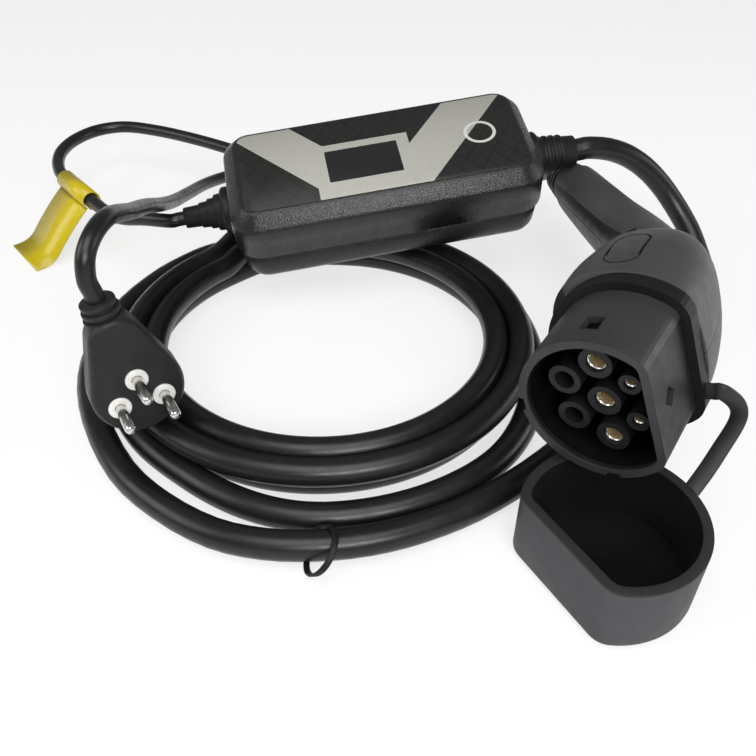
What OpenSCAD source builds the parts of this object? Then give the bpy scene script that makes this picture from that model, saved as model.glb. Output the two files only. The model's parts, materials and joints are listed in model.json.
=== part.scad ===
// Portable charger for an electric car: control box, vehicle connector with its dust cap,
// mains plug, and the two cables between them, the thick one wound into a flat coil.
// Millimetres, +Z up. The dust cap, the coil and the cables lie on the plane Z = 0.

/* [Control box] */
// Length of the box over its walls
box_length = 173.5; // [160:0.5:200]
// Width of the box over its walls
box_width = 78.5; // [74:0.5:90]
// Height of the lower shell
base_height = 21; // [18:0.5:24]
// Height of the straight wall of the lid
lid_wall_height = 19; // [17:0.5:24]
// Width and height of the bevel round the lid
lid_bevel = 7.5; // [5:0.5:9]
// Corner radius of the box seen from above
box_corner = 16; // [14:0.5:20]
// Wall thickness of both shells
box_wall = 3.5; // [3:0.25:4]
// How far the lower shell is set in under the lid
base_step = 1.2; // [0.8:0.1:1.6]
// How far the lower shell narrows towards its bottom
base_draft = 5; // [3:0.5:6]
// Thickness of the panel film
film_thickness = 0.6; // [0.5:0.1:1]
// Size of the display window along the box
window_length = 40.5; // [32:0.5:44]
// Size of the display window across the box
window_width = 24.5; // [18:0.5:28]
// Length of both strain reliefs outside the box
gland_length = 27; // [22:1:32]

/* [Vehicle connector] */
// Width across the connector nose
nose_width = 63; // [60:0.5:66]
// Depth of the nose from its round side to its flat side
nose_depth = 54; // [52:0.5:58]
// Wall thickness of the nose sleeve
nose_wall = 3.2; // [2.4:0.2:3.6]
// Distance from the rim of the nose back to the tower faces
mouth_depth = 7; // [4.5:0.5:8]
// Length of the nose behind the tower faces
nose_back = 34; // [34:1:40]
// Thickness of the rubber collar round the nose
collar_wall = 3.5; // [2.5:0.5:4.5]
// Bore radius of the power contacts
power_bore = 3.05; // [2.6:0.05:3.3]
// Bore radius of the signal contacts
signal_bore = 1.55; // [1.2:0.05:1.8]

/* [Dust cap] */
// Width across the cap
cap_width = 72; // [70:0.5:76]
// Depth of the cap from its round side to its flat side
cap_depth = 61.5; // [60:0.5:66]
// Height of the cap
cap_height = 34; // [28:0.5:34]
// Wall and floor thickness of the cap
cap_wall = 4; // [3:0.25:4.5]

/* [Mains plug] */
// Radius of the plug face
plug_radius = 20; // [18:0.5:21]
// Depth of the plug body behind its face
plug_depth = 18; // [15:0.5:22]
// Radius of the plug pins
pin_radius = 2.25; // [2:0.05:2.5]
// Length of the plug pins outside the body
pin_length = 19; // [17:0.5:21]

/* [Cables] */
// Diameter of the thick cable
ev_cable = 13; // [12:0.25:13]
// Diameter of the thin cord
mains_cable = 8; // [7:0.25:8]

/* [Hidden] */

// Colours
shell_grey = [0.16, 0.16, 0.17];
gun_grey = [0.26, 0.26, 0.27];
rubber_black = [0.06, 0.06, 0.065];
cap_grey = [0.3, 0.31, 0.32];
film_silver = [0.62, 0.6, 0.57];
glass_dark = [0.05, 0.05, 0.06];
board_green = [0.05, 0.25, 0.14];
part_blue = [0.12, 0.2, 0.42];
steel = [0.7, 0.7, 0.71];
nickel = [0.75, 0.74, 0.71];
ivory = [0.9, 0.89, 0.85];
tag_yellow = [0.95, 0.78, 0.05];

// Clearances
seat_gap = 0.1;
screw_gap = 0.2;
// Thickness of the thin slabs that set the outline of a tapered body
sheet = 0.4;

// Places of the pieces in the layout
box_pos = [-76.6, 40.9, 35.5];
box_yaw = 44.5;
box_tilt = 16;
box_lean = 6.5;
gun_pos = [106.5, -88, 70];
gun_roll = 21;
gun_pitch = 4;
cap_pos = [124.5, -105.5, 0];
cap_yaw = -116;
plug_pos = [-66, -163, 45];
plug_yaw = -27.6;
plug_pitch = 5.7;
coil_pos = [-49, -55, 0];

// Control box
box_height = base_height + lid_wall_height + lid_bevel;
lid_shoulder = base_height + lid_wall_height;
base_length = box_length - 2 * base_step;
base_width = box_width - 2 * base_step;
base_corner = box_corner - base_step;
base_round = 4;
base_side_draft = 0.35 * base_draft;
bevel_inset = lid_bevel + 0.414 * box_wall;
film_bed = 0.4;
film_margin = 1.5;
film_length = box_length - 2 * lid_bevel - 2 * film_margin;
film_width = box_width - 2 * lid_bevel - 2 * film_margin;
film_corner = box_corner - lid_bevel - film_margin;
window_spot = [-9.7, -6.4];
gasket_width = 1;
gasket_depth = 1.2;
gasket_inset = base_step + 0.7;
boss_inset = 13;
boss_spots = [
    for (sx = [-1, 1], sy = [-1, 1])
        [sx * (box_length / 2 - boss_inset), sy * (box_width / 2 - boss_inset)]
];
boss_radius = 4.5;
screw_radius = 1.5;
screw_head = 2.9;
screw_seat = 3;
screw_bite = 10;
board_bottom = 8;
board_thickness = 1.6;
board_top = board_bottom + board_thickness;
board_size = [box_length - 50, box_width - 30];
post_radius = 3;
post_inset = 6;
post_spots = [
    for (sx = [-1, 1], sy = [-1, 1])
        [sx * (board_size[0] / 2 - post_inset), sy * (board_size[1] / 2 - post_inset)]
];
relay_size = [28, 14, 14];
relay_spots = [[8, -14], [8, 6]];
transformer_size = [24, 20, 16];
transformer_spot = [-50, -10];
sensor_spot = [-10, -14];
sensor_hole = 6;
sensor_wall = 6;
sensor_height = 10;
terminal_size = [12, 32, 12];
terminal_spot = [44, -16];
terminal_pockets = [-12, -4, 4, 12];
terminal_pocket = 5;
display_depth = 5;
gland_axis = base_height + 2;
gland_neck = 8;
gland_inner = box_wall + base_step + base_side_draft + screw_gap;

// Vehicle connector; in its own frame +Y runs into it, +X to the flat side, Y = 0 at the tower faces
nose_corner = 8;
nose_flat = nose_depth - nose_width / 2;
sleeve_inner_width = nose_width - 2 * nose_wall;
sleeve_inner_depth = nose_depth - 2 * nose_wall;
sleeve_window = 5;
carrier_width = sleeve_inner_width - 2 * seat_gap;
carrier_depth = sleeve_inner_depth - 2 * seat_gap;
carrier_front = 23;
collar_front = nose_back - 7;
power_spots = [[0, 17], [0, 0], [0, -17]];
signal_spots = [[11.4, 8.5], [11.4, -8.5]];
spare_spots = [[-14.2, 8.5], [-14.2, -8.5]];
power_tower = 6.5;
signal_tower = 4.3;
power_sleeve = power_bore + 0.9;
signal_sleeve = signal_bore + 0.7;
contact_front = 1.5;
contact_back = carrier_front - seat_gap;
power_reach = 20;
signal_reach = 16;
// Housing and handle, one row each: along Y, along X, turn, half depth, half width
housing = [
    [0, -4, 0, 31, 35.5], [14, -4.5, 0, 31.5, 36], [30, -5.5, 5, 30, 34.5], [46, -9, 12, 27, 31],
    [62, -15, 22, 24.5, 27], [77, -23.5, 32, 22, 23.5], [84, -28.5, 36, 20.5, 21.5], [86, -30, 37, 18, 18.5],
    [97, -38, 41, 17, 17.5], [119, -58, 43, 16.5, 16.5], [143, -80, 43, 16, 16], [158, -94, 43, 15, 15],
    [161.5, -97.5, 43, 13, 13]
];
housing_square = 2.5;
handle_end = [housing[len(housing) - 1][1], nose_back + housing[len(housing) - 1][0], 0];
handle_turn = housing[len(housing) - 1][2];
boot_length = 32;
boot_out = [-sin(handle_turn), cos(handle_turn), 0];
// Raised strip along the handle, on these rows of the housing
strip_rows = [8, 9, 10];
strip_half = 6;
strip_height = 1.6;
strip_edge = 1.2;
cover_spot = [-6, nose_back + 17];
cover_turn = -16;
cover_length = 25;
cover_width = 13;
cover_bottom = 31.5;
cover_top = 36.2;
gun_screw_spots = [[-5, nose_back + 18], [-40, nose_back + 99], [-78, nose_back + 141]];
gun_screw_seat = -7;
gun_screw_bite = 7;

// Dust cap and strap
cap_corner = 10;
strap_width = 5.5;
strap_thickness = 2.4;
strap_turn = 172;
strap_height = cap_height - strap_width;
strap_route = concat(
    [for (d = [seat_gap, 3, 6]) gun_point([nose_flat + collar_wall + d, nose_back - 4, -15])],
    [[147, -36, 54], [151, -35, 48], [152.5, -37, 41], [152, -44, 35.5], [149, -53, 32]],
    [for (d = [7, 3, seat_gap]) cap_point(turn_z([cap_width / 2 + d, 0, strap_height], strap_turn))]
);

// Mains plug; in its own frame the pins leave along +X and the cord along +Z
pin_pitch = 19;
pin_row = -4;
earth_rise = 11;
pin_spots = [[-pin_pitch / 2, pin_row], [pin_pitch / 2, pin_row], [0, pin_row + earth_rise]];
pin_root = 6;
pin_tip = 0.6;
pin_collar = 4.9;
pin_collar_height = 1.2;
plug_lean = 8;
plug_neck = 25;
plug_neck_radius = 11.5;
plug_top = 43;

// Coil of the thick cable
coil_inner = 81.5;
coil_lower = 6.5;
coil_upper = 17.76;
coil_top = 24.26;

// Routes of the cables
ev_box_route = concat(
    [for (d = [0, 6, 14]) box_point([box_length / 2 + gland_length + d, 0, gland_axis])],
    [[27, 130, 64], [36, 140, 57], [46, 148, 48], [57, 152, 38], [70, 150, 27], [83, 142, 17],
     [95, 127, 10], [104, 106, 7], [109, 80, 7], [109, 52, 7], [105, 21, 7], [97, -14, 7], [88, -48, 7],
     [80, -80, 7], [69, -109, 7], [56, -132, 7.5], [42, -150, 8.3], [26, -164, 8.5], [8, -175, 8.3],
     [-14, -182, 7.5], [-42, -183, 7], [-72, -178, 7], [-107, -162, 7], [-135, -141, 7], [-154, -116, 7],
     [-166, -86, 7], [-170.5, -55, 7], [-168, -30, 7]]
);
ev_gun_route = concat(
    [[-147.8, 2.2, 19.7], [-136, 30, 15.5], [-121, 56, 9.5], [-109, 82, 7], [-101, 107, 7],
     [-89, 132, 8], [-69, 151, 13], [-44, 157, 21], [-25, 151, 32]],
    [for (d = [16, 7, 0]) gun_point(handle_end + (boot_length + d) * boot_out)]
);
mains_route = concat(
    [for (d = [0, 4, 9]) box_point([-box_length / 2 - gland_length - d, 0, gland_axis])],
    [[-179, -53, 43], [-195, -56, 40], [-214, -52, 36.5], [-235, -45, 34.5], [-255, -39, 34],
     [-275, -33, 33.5], [-294, -23, 33], [-310, -8, 33],
     [-319, 11, 33], [-319, 32, 33], [-307, 48, 33], [-282, 56, 33],
     [-252, 60, 33], [-224, 63, 32], [-196, 68, 29], [-166, 80, 25], [-140, 102, 17], [-129, 128, 9],
     [-138, 150, 5], [-161, 158, 4.5], [-186, 145, 4.5], [-206, 120, 4.5], [-220, 91, 6], [-227, 64, 9],
     [-221, 37, 16], [-206, 8, 26], [-185, -24, 40], [-164, -52, 56], [-143, -79, 73], [-122, -105, 88],
     [-105, -125, 101], [-93, -140, 109], [-86, -152, 110], [-83, -160, 105]],
    [for (d = [10, 4, 0]) plug_point(turn_x([-plug_depth / 2, 0, plug_top + d], plug_lean))]
);
route_steps = 2;
cable_sides = 10;

// Tag and band on the cables
tag_pos = [-255, -39, 34];
tag_yaw = -16.7;
tag_width = 34;
tag_thickness = 0.8;
tag_hole = mains_cable / 2 + 1;
tie_pos = [26, -164, 8.5];
tie_yaw = 36.3;
tie_width = 5;
tie_wall = 1.3;
tie_gap = 0.4;

// Turn a point about one axis
function turn_x(p, a) = [p[0], p[1] * cos(a) - p[2] * sin(a), p[1] * sin(a) + p[2] * cos(a)];
function turn_y(p, a) = [p[0] * cos(a) + p[2] * sin(a), p[1], p[2] * cos(a) - p[0] * sin(a)];
function turn_z(p, a) = [p[0] * cos(a) - p[1] * sin(a), p[0] * sin(a) + p[1] * cos(a), p[2]];

// A point of the box, the connector, the cap or the plug in the layout
function box_point(p) = box_pos + turn_z(turn_x(turn_y(p, -box_lean), box_tilt), box_yaw);
function gun_point(p) = gun_pos + turn_x(turn_y(p, -gun_roll), gun_pitch);
function cap_point(p) = cap_pos + turn_z(p, cap_yaw);
function plug_point(p) = plug_pos + turn_z(turn_y(p, -plug_pitch), plug_yaw);

// Smooth path through route points
function before(q) = 2 * q[0] - q[1];
function after(q) = 2 * q[len(q) - 1] - q[len(q) - 2];
function blend(a, b, c, d, t) = 0.5 * (
    2 * b + (c - a) * t + (2 * a - 5 * b + 4 * c - d) * t * t + (3 * b - a - 3 * c + d) * t * t * t
);
function smooth(q, steps) = let (w = concat([before(q)], q, [after(q)])) concat(
    [for (i = [1 : len(q) - 1], j = [0 : steps - 1]) blend(w[i - 1], w[i], w[i + 1], w[i + 2], j / steps)],
    [q[len(q) - 1]]
);
function unit(v) = v / norm(v);
function heading(p, i) = unit(p[min(i + 1, len(p) - 1)] - p[max(i - 1, 0)]);
function square_to(v, t) = unit(v - t * (v * t));
function carried(p, v, i) = let (n = square_to(v, heading(p, i)))
    i == len(p) - 1 ? [n] : concat([n], carried(p, n, i + 1));

// Rings of a section carried along a path
function rings_along(p, section, v) = let (n = carried(p, v, 0)) [
    for (i = [0 : len(p) - 1]) let (b = cross(heading(p, i), n[i]))
        [for (s = section) p[i] + s[0] * n[i] + s[1] * b]
];
function round_section(d, sides) = [
    for (k = [0 : sides - 1]) [d / 2 * cos(360 * k / sides), d / 2 * sin(360 * k / sides)]
];

// One half of the housing section at a row of the housing table
function bulge(c) = sign(c) * pow(abs(c), 2 / housing_square);
function half_ring(s, start, n) = [
    for (k = [0 : n]) let (a = start - 180 * k / n, x = s[3] * bulge(cos(a)))
        [s[1] + x * cos(s[2]), nose_back + s[0] + x * sin(s[2]), s[4] * bulge(sin(a))]
];
function strip_ring(s) = [
    for (c = [[-strip_half, seat_gap], [-strip_half, strip_height - strip_edge],
              [strip_edge - strip_half, strip_height], [strip_half - strip_edge, strip_height],
              [strip_half, strip_height - strip_edge], [strip_half, seat_gap]])
        [s[1] + c[0] * cos(s[2]), nose_back + s[0] + c[0] * sin(s[2]), s[4] + c[1]]
];

// Solid through a list of rings with the same number of points
module loft(rings) {
    n = len(rings[0]);
    m = len(rings);
    points = [for (r = rings) for (p = r) p];
    sides = [
        for (i = [0 : m - 2], k = [0 : n - 1]) let (a = i * n + k, b = i * n + (k + 1) % n)
            each [[a, a + n, b + n], [a, b + n, b]]
    ];
    caps = [[for (k = [0 : n - 1]) k], [for (k = [n - 1 : -1 : 0]) (m - 1) * n + k]];
    polyhedron(points = points, faces = concat(sides, caps));
}

module cable(route, d) {
    path = smooth(route, route_steps);
    loft(rings_along(path, round_section(d, cable_sides), [0.3, 0.2, 1]));
}

// Rounded rectangle seen from above
module rounded(l, w, r) {
    square([l - 2 * r, w], center = true);
    square([l, w - 2 * r], center = true);
    for (sx = [-1, 1], sy = [-1, 1])
        translate([sx * (l / 2 - r), sy * (w / 2 - r)])
            circle(r = r, $fn = 32);
}

// Plate with rounded corners, all its edges drawn in by the inset
module plate(l, w, r, h, inset) {
    linear_extrude(height = h)
        rounded(l - 2 * inset, w - 2 * inset, r - inset);
}

// D outline with its flat on the +X side
module d_outline(width, depth, corner) {
    offset(r = corner, $fn = 32)
        intersection() {
            circle(d = width - 2 * corner, $fn = 64);
            translate([corner - width / 2, -width / 2])
                square([depth - 2 * corner, width]);
        }
}

module along_y(from, to) {
    translate([0, from, 0])
        rotate([-90, 0, 0])
            linear_extrude(height = to - from)
                children();
}

module rod_y(spot, r, from, to) {
    translate([spot[0], from, spot[1]])
        rotate([-90, 0, 0])
            cylinder(r = r, h = to - from, $fn = 48);
}

module rod_z(spot, r, from, to) {
    translate([spot[0], spot[1], from])
        cylinder(r = r, h = to - from, $fn = 32);
}

module in_box() {
    translate(box_pos)
        rotate([0, 0, box_yaw])
            rotate([box_tilt, 0, 0])
                rotate([0, -box_lean, 0])
                    children();
}

module in_gun() {
    translate(gun_pos)
        rotate([gun_pitch, 0, 0])
            rotate([0, -gun_roll, 0])
                children();
}

module in_plug() {
    translate(plug_pos)
        rotate([0, 0, plug_yaw])
            rotate([0, -plug_pitch, 0])
                children();
}

// Round seats of both strain reliefs in the joint of the shells
module gland_seats() {
    for (s = [-1, 1])
        translate([s * box_length / 2, 0, gland_axis])
            rotate([0, 90, 0])
                cylinder(r = gland_neck + seat_gap, h = 4 * gland_inner, center = true, $fn = 48);
}

module gasket_ring(grow) {
    difference() {
        plate(box_length, box_width, box_corner, gasket_depth, gasket_inset - grow);
        translate([0, 0, -1])
            plate(box_length, box_width, box_corner, gasket_depth + 2, gasket_inset + gasket_width + grow);
    }
}

module box_base() {
    color(shell_grey)
    in_box()
    difference() {
        union() {
            difference() {
                hull() {
                    translate([0, 0, base_height - sheet])
                        plate(base_length, base_width, base_corner, sheet, 0);
                    translate([0, 0, base_round])
                        plate(base_length, base_width, base_corner, sheet, base_side_draft);
                    plate(base_length, base_width, base_corner, sheet, base_draft);
                }
                hull() {
                    translate([0, 0, base_height])
                        plate(base_length, base_width, base_corner, sheet, box_wall);
                    translate([0, 0, box_wall])
                        plate(base_length, base_width, base_corner, sheet, box_wall + base_side_draft);
                }
            }
            for (p = boss_spots)
                rod_z(p, boss_radius, box_wall - 1, base_height);
            for (p = post_spots)
                rod_z(p, post_radius, box_wall - 1, board_bottom);
        }
        for (p = boss_spots) {
            rod_z(p, screw_radius + screw_gap, -1, base_height + 1);
            rod_z(p, screw_head + screw_gap, -1, screw_seat);
        }
        gland_seats();
        translate([0, 0, base_height - gasket_depth])
            gasket_ring(seat_gap);
    }
}

module box_lid() {
    color(shell_grey)
    in_box()
    difference() {
        union() {
            difference() {
                hull() {
                    translate([0, 0, base_height])
                        plate(box_length, box_width, box_corner, sheet, 0);
                    translate([0, 0, lid_shoulder - sheet])
                        plate(box_length, box_width, box_corner, sheet, 0);
                    translate([0, 0, box_height - sheet])
                        plate(box_length, box_width, box_corner, sheet, lid_bevel);
                }
                hull() {
                    translate([0, 0, base_height - 1])
                        plate(box_length, box_width, box_corner, sheet, box_wall);
                    translate([0, 0, lid_shoulder - 0.414 * box_wall])
                        plate(box_length, box_width, box_corner, sheet, box_wall);
                    translate([0, 0, box_height - box_wall - sheet])
                        plate(box_length, box_width, box_corner, sheet, bevel_inset);
                }
            }
            for (p = boss_spots)
                rod_z(p, boss_radius, base_height, box_height - box_wall + 1);
        }
        for (p = boss_spots)
            rod_z(p, screw_radius + seat_gap, base_height - 1, base_height + screw_bite + 1);
        gland_seats();
        translate([0, 0, box_height - film_bed])
            plate(film_length, film_width, film_corner, 1, -seat_gap);
        translate([window_spot[0], window_spot[1], box_height - box_wall / 2])
            cube([window_length + 2 * seat_gap, window_width + 2 * seat_gap, 3 * box_wall], center = true);
    }
}

module box_gasket() {
    color(rubber_black)
    in_box()
    translate([0, 0, base_height - gasket_depth])
    difference() {
        gasket_ring(0);
        translate([0, 0, gasket_depth - base_height])
            gland_seats();
    }
}

module front_panel() {
    color(film_silver)
    in_box()
    difference() {
        translate([0, 0, box_height - film_bed])
            plate(film_length, film_width, film_corner, film_thickness, 0);
        translate([window_spot[0], window_spot[1], box_height])
            cube([window_length + 2 * seat_gap, window_width + 2 * seat_gap, 4], center = true);
    }
}

module display_window() {
    color(glass_dark)
    in_box()
    translate([window_spot[0] - window_length / 2, window_spot[1] - window_width / 2, box_height - box_wall])
    cube([window_length, window_width, box_wall - film_bed + film_thickness]);
}

module display_module() {
    color(board_green)
    in_box()
    translate([window_spot[0], window_spot[1], box_height - box_wall - display_depth / 2])
    cube([window_length + 8, window_width + 6, display_depth], center = true);
}

module circuit_board() {
    color(board_green)
    in_box()
    translate([0, 0, board_bottom])
    plate(board_size[0], board_size[1], 3, board_thickness, 0);
}

module relays() {
    color(part_blue)
    in_box()
    for (p = relay_spots)
        translate([p[0], p[1], board_top])
            cube(relay_size);
}

module supply_transformer() {
    color(rubber_black)
    in_box()
    translate([transformer_spot[0], transformer_spot[1], board_top])
    cube(transformer_size);
}

module leakage_sensor() {
    color(rubber_black)
    in_box()
    translate([sensor_spot[0], sensor_spot[1], board_top])
    rotate_extrude($fn = 48)
    translate([sensor_hole, 0])
    square([sensor_wall, sensor_height]);
}

module terminal_block() {
    color(board_green)
    in_box()
    difference() {
        translate([terminal_spot[0], terminal_spot[1], board_top])
            cube(terminal_size);
        for (y = terminal_pockets)
            translate([terminal_spot[0] + terminal_size[0], y, board_top + terminal_size[2] / 2])
                cube(terminal_pocket, center = true);
    }
}

module box_screws() {
    color(steel)
    in_box()
    for (p = boss_spots) {
        rod_z(p, screw_head, screw_seat - 2.4, screw_seat);
        rod_z(p, screw_radius, screw_seat - 1, base_height + screw_bite);
    }
}

// Flange inside, neck through the wall and stepped relief outside, along +Z
module mains_gland() {
    color(rubber_black)
    in_box()
    translate([-box_length / 2, 0, gland_axis])
    rotate([0, -90, 0])
    rotate_extrude($fn = 48)
    polygon([
        [0, -gland_inner - 2.5], [gland_neck + 2.5, -gland_inner - 2.5], [gland_neck + 2.5, -gland_inner],
        [gland_neck, -gland_inner], [gland_neck, seat_gap], [13.5, seat_gap], [13.5, 3.5], [12, 5],
        [10.5, 5], [10, 9], [8.6, 9], [8.4, 13], [7.4, 13], [7, 18], [6.2, 18], [5.8, gland_length],
        [0, gland_length]
    ]);
}

module ev_gland() {
    color(rubber_black)
    in_box()
    translate([box_length / 2, 0, gland_axis])
    rotate([0, 90, 0])
    rotate_extrude($fn = 48)
    polygon([
        [0, -gland_inner - 2.5], [gland_neck + 2.5, -gland_inner - 2.5], [gland_neck + 2.5, -gland_inner],
        [gland_neck, -gland_inner], [gland_neck, seat_gap], [14.5, seat_gap], [14.5, 3.5], [13, 5],
        [11.4, 5], [11.4, 7], [10.2, 7], [10.2, 9], [11.1, 9], [11.1, 11], [9.9, 11], [9.9, 13],
        [10.8, 13], [10.8, 15], [9.6, 15], [9.6, 17], [10.4, 17], [10.4, 19], [9.3, 19],
        [8.6, gland_length], [0, gland_length]
    ]);
}

module nose_sleeve() {
    color(rubber_black)
    in_gun()
    difference() {
        along_y(-mouth_depth, nose_back)
            d_outline(nose_width, nose_depth, nose_corner);
        along_y(-mouth_depth - 1, nose_back + 1)
            d_outline(sleeve_inner_width, sleeve_inner_depth, nose_corner - nose_wall);
        for (s = [-1, 1])
            translate([0, sleeve_window, s * nose_width / 2])
                cube([7, 8, 4 * nose_wall], center = true);
        translate([nose_flat, sleeve_window + 1, 0])
            rotate([45, 0, 0])
                cube([4 * nose_wall, 6.5, 6.5], center = true);
        translate([-nose_width / 2, -mouth_depth, 0])
            cube([nose_wall, 5, 6], center = true);
        translate([0, -mouth_depth, -nose_width / 2])
            cube([6, 5, nose_wall], center = true);
    }
}

module tower(spot, r, hole) {
    difference() {
        rod_y(spot, r, 0, carrier_front - seat_gap);
        rod_y(spot, hole, -1, carrier_front);
    }
}

// Plate in the sleeve and the seven towers that stand on it
module contact_carrier() {
    color(rubber_black)
    in_gun() {
        along_y(carrier_front, nose_back)
            d_outline(carrier_width, carrier_depth, nose_corner - nose_wall);
        for (p = power_spots)
            tower(p, power_tower, power_sleeve + seat_gap);
        for (p = spare_spots)
            tower(p, power_tower, power_sleeve);
        for (p = signal_spots)
            tower(p, signal_tower, signal_sleeve + seat_gap);
    }
}

module power_contacts() {
    color(nickel)
    in_gun()
    for (p = power_spots)
        difference() {
            rod_y(p, power_sleeve, contact_front, contact_back);
            rod_y(p, power_bore, 0, contact_front + power_reach);
        }
}

module signal_contacts() {
    color(nickel)
    in_gun()
    for (p = signal_spots)
        difference() {
            rod_y(p, signal_sleeve, contact_front, contact_back);
            rod_y(p, signal_bore, 0, contact_front + signal_reach);
        }
}

module seal_collar() {
    color(rubber_black)
    in_gun()
    difference() {
        along_y(collar_front, nose_back)
            d_outline(nose_width + 2 * collar_wall, nose_depth + 2 * collar_wall, nose_corner + collar_wall);
        along_y(collar_front - 1, nose_back + 1)
            d_outline(nose_width + 2 * seat_gap, nose_depth + 2 * seat_gap, nose_corner);
    }
}

// Rounded slot of the oblong cover, grown by a clearance
module cover_shape(grow, from, to) {
    translate([cover_spot[0], cover_spot[1], from])
        rotate([0, 0, cover_turn])
            linear_extrude(height = to - from)
                rounded(cover_width + 2 * grow, cover_length + 2 * grow, cover_width / 2 + grow - 0.01);
}

module shell_upper() {
    color(gun_grey)
    in_gun()
    difference() {
        loft([for (s = housing) half_ring(s, 180, 14)]);
        cover_shape(seat_gap, cover_bottom, cover_top + 4);
        for (p = gun_screw_spots)
            rod_z(p, screw_radius + seat_gap, -1, gun_screw_bite + 1);
    }
}

module shell_lower() {
    color(gun_grey)
    in_gun()
    difference() {
        loft([for (s = housing) half_ring(s, 0, 14)]);
        for (p = gun_screw_spots) {
            rod_z(p, screw_radius + screw_gap, gun_screw_seat - 1, 1);
            rod_z(p, screw_head + screw_gap, -50, gun_screw_seat);
        }
    }
}

module side_cover() {
    color(gun_grey)
    in_gun()
    cover_shape(0, cover_bottom, cover_top);
}

module grip_strip() {
    color(rubber_black)
    in_gun()
    loft([for (i = strip_rows) strip_ring(housing[i])]);
}

module cable_boot() {
    color(rubber_black)
    in_gun()
    translate(handle_end)
    rotate([0, 0, handle_turn])
    rotate([-90, 0, 0])
    rotate_extrude($fn = 48)
    polygon([
        [0, 0], [12.5, 0], [12.5, 5], [11, 6], [11, 8], [12, 8], [12, 11], [10.6, 11], [10.6, 13],
        [11.5, 13], [11.5, 16], [10.1, 16], [10.1, 18], [11, 18], [11, 21], [9.6, 21], [9.6, 23],
        [10.4, 23], [10.4, 26], [9.2, 26], [8.4, boot_length], [0, boot_length]
    ]);
}

module gun_screws() {
    color(steel)
    in_gun()
    for (p = gun_screw_spots) {
        rod_z(p, screw_head, gun_screw_seat - 2.4, gun_screw_seat);
        rod_z(p, screw_radius, gun_screw_seat - 1, gun_screw_bite);
    }
}

module dust_cap() {
    color(cap_grey)
    translate(cap_pos)
    rotate([0, 0, cap_yaw])
    difference() {
        linear_extrude(height = cap_height)
            d_outline(cap_width, cap_depth, cap_corner);
        translate([0, 0, cap_wall])
            linear_extrude(height = cap_height)
                d_outline(cap_width - 2 * cap_wall, cap_depth - 2 * cap_wall, cap_corner - cap_wall);
    }
}

module cap_strap() {
    color(rubber_black)
    loft(rings_along(smooth(strap_route, route_steps), [
        [strap_width / 2, strap_thickness / 2], [-strap_width / 2, strap_thickness / 2],
        [-strap_width / 2, -strap_thickness / 2], [strap_width / 2, -strap_thickness / 2]
    ], [0, 0.2, 1]));
}

// Outline of the plug seen from its pins, drawn in by the inset, as a thin slab
module plug_slab(x, inset) {
    translate([x, 0, 0])
        rotate([90, 0, 90])
            linear_extrude(height = sheet)
                hull() {
                    circle(r = plug_radius - inset, $fn = 32);
                    translate([0, plug_neck])
                        circle(r = plug_neck_radius - inset, $fn = 32);
                }
}

module pin_rods(r, from, to) {
    for (p = pin_spots)
        translate([from, p[0], p[1]])
            rotate([0, 90, 0])
                cylinder(r = r, h = to - from, $fn = 32);
}

module plug_body() {
    color(gun_grey)
    in_plug()
    difference() {
        union() {
            rotate([plug_lean, 0, 0])
                hull() {
                    plug_slab(-sheet, 1.5);
                    plug_slab(-3, 0);
                    plug_slab(4 - plug_depth, 0);
                    plug_slab(-plug_depth, 3.5);
                }
            rotate([plug_lean, 0, 0])
                translate([-plug_depth / 2, 0, 0])
                    rotate_extrude($fn = 48)
                        polygon([
                            [0, plug_neck], [8.5, plug_neck], [8.5, plug_top - 7], [6.6, plug_top - 7],
                            [6.6, plug_top - 5.5], [8, plug_top - 5.5], [8, plug_top - 3.5],
                            [6.2, plug_top - 3.5], [6.2, plug_top - 2],
                            [7.4, plug_top - 2], [7.4, plug_top], [0, plug_top]
                        ]);
        }
        pin_rods(pin_radius + seat_gap, -pin_root, 1);
    }
}

module plug_pins() {
    color(nickel)
    in_plug()
    for (p = pin_spots)
        translate([-pin_root, p[0], p[1]])
            rotate([0, 90, 0])
                rotate_extrude($fn = 32)
                    polygon([
                        [0, 0], [pin_radius, 0], [pin_radius, pin_root + pin_length - pin_tip],
                        [pin_radius - pin_tip, pin_root + pin_length], [0, pin_root + pin_length]
                    ]);
}

module pin_collars() {
    color(ivory)
    in_plug()
    difference() {
        pin_rods(pin_collar, 0, pin_collar_height);
        pin_rods(pin_radius + seat_gap, -1, pin_collar_height + 1);
    }
}

// Outer shape of the wound turns, two below and two above
module ev_coil() {
    color(rubber_black)
    translate(coil_pos)
    rotate_extrude($fn = 96)
    translate([coil_inner, 0])
    polygon([
        [13, 0], [26, 0], [30.6, 1.9], [32.5, coil_lower], [30.6, 11.1], [26, coil_upper], [24.1, 22.4],
        [19.5, coil_top], [6.5, coil_top], [1.9, 22.4], [0, coil_upper], [1.9, 13.2], [5.5, 11.3],
        [6.5, coil_lower], [8.4, 1.9]
    ]);
}

module ev_lead_box() {
    color(rubber_black)
    cable(ev_box_route, ev_cable);
}

module ev_lead_gun() {
    color(rubber_black)
    cable(ev_gun_route, ev_cable);
}

module mains_cord() {
    color(rubber_black)
    cable(mains_route, mains_cable);
}

// Flag folded round the cord and hanging down to the floor
module cord_tag() {
    color(tag_yellow)
    translate(tag_pos)
    rotate([0, 0, tag_yaw])
    rotate([90, 0, 90])
    translate([0, 0, -tag_width / 2])
    difference() {
        union() {
            cylinder(r = tag_hole + tag_thickness, h = tag_width, $fn = 40);
            linear_extrude(height = tag_width)
                polygon([
                    [-2.4, -4.9], [-14, -13], [-24, -23], [-31, -30.5], [-37, -33.2], [-44, -33.4],
                    [-44, -32.6], [-37, -32.2], [-30.4, -29.4], [-23.4, -22], [-13.4, -11.8], [-4.1, -3.5]
                ]);
        }
        translate([0, 0, -1])
            cylinder(r = tag_hole, h = tag_width + 2, $fn = 40);
    }
}

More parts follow.
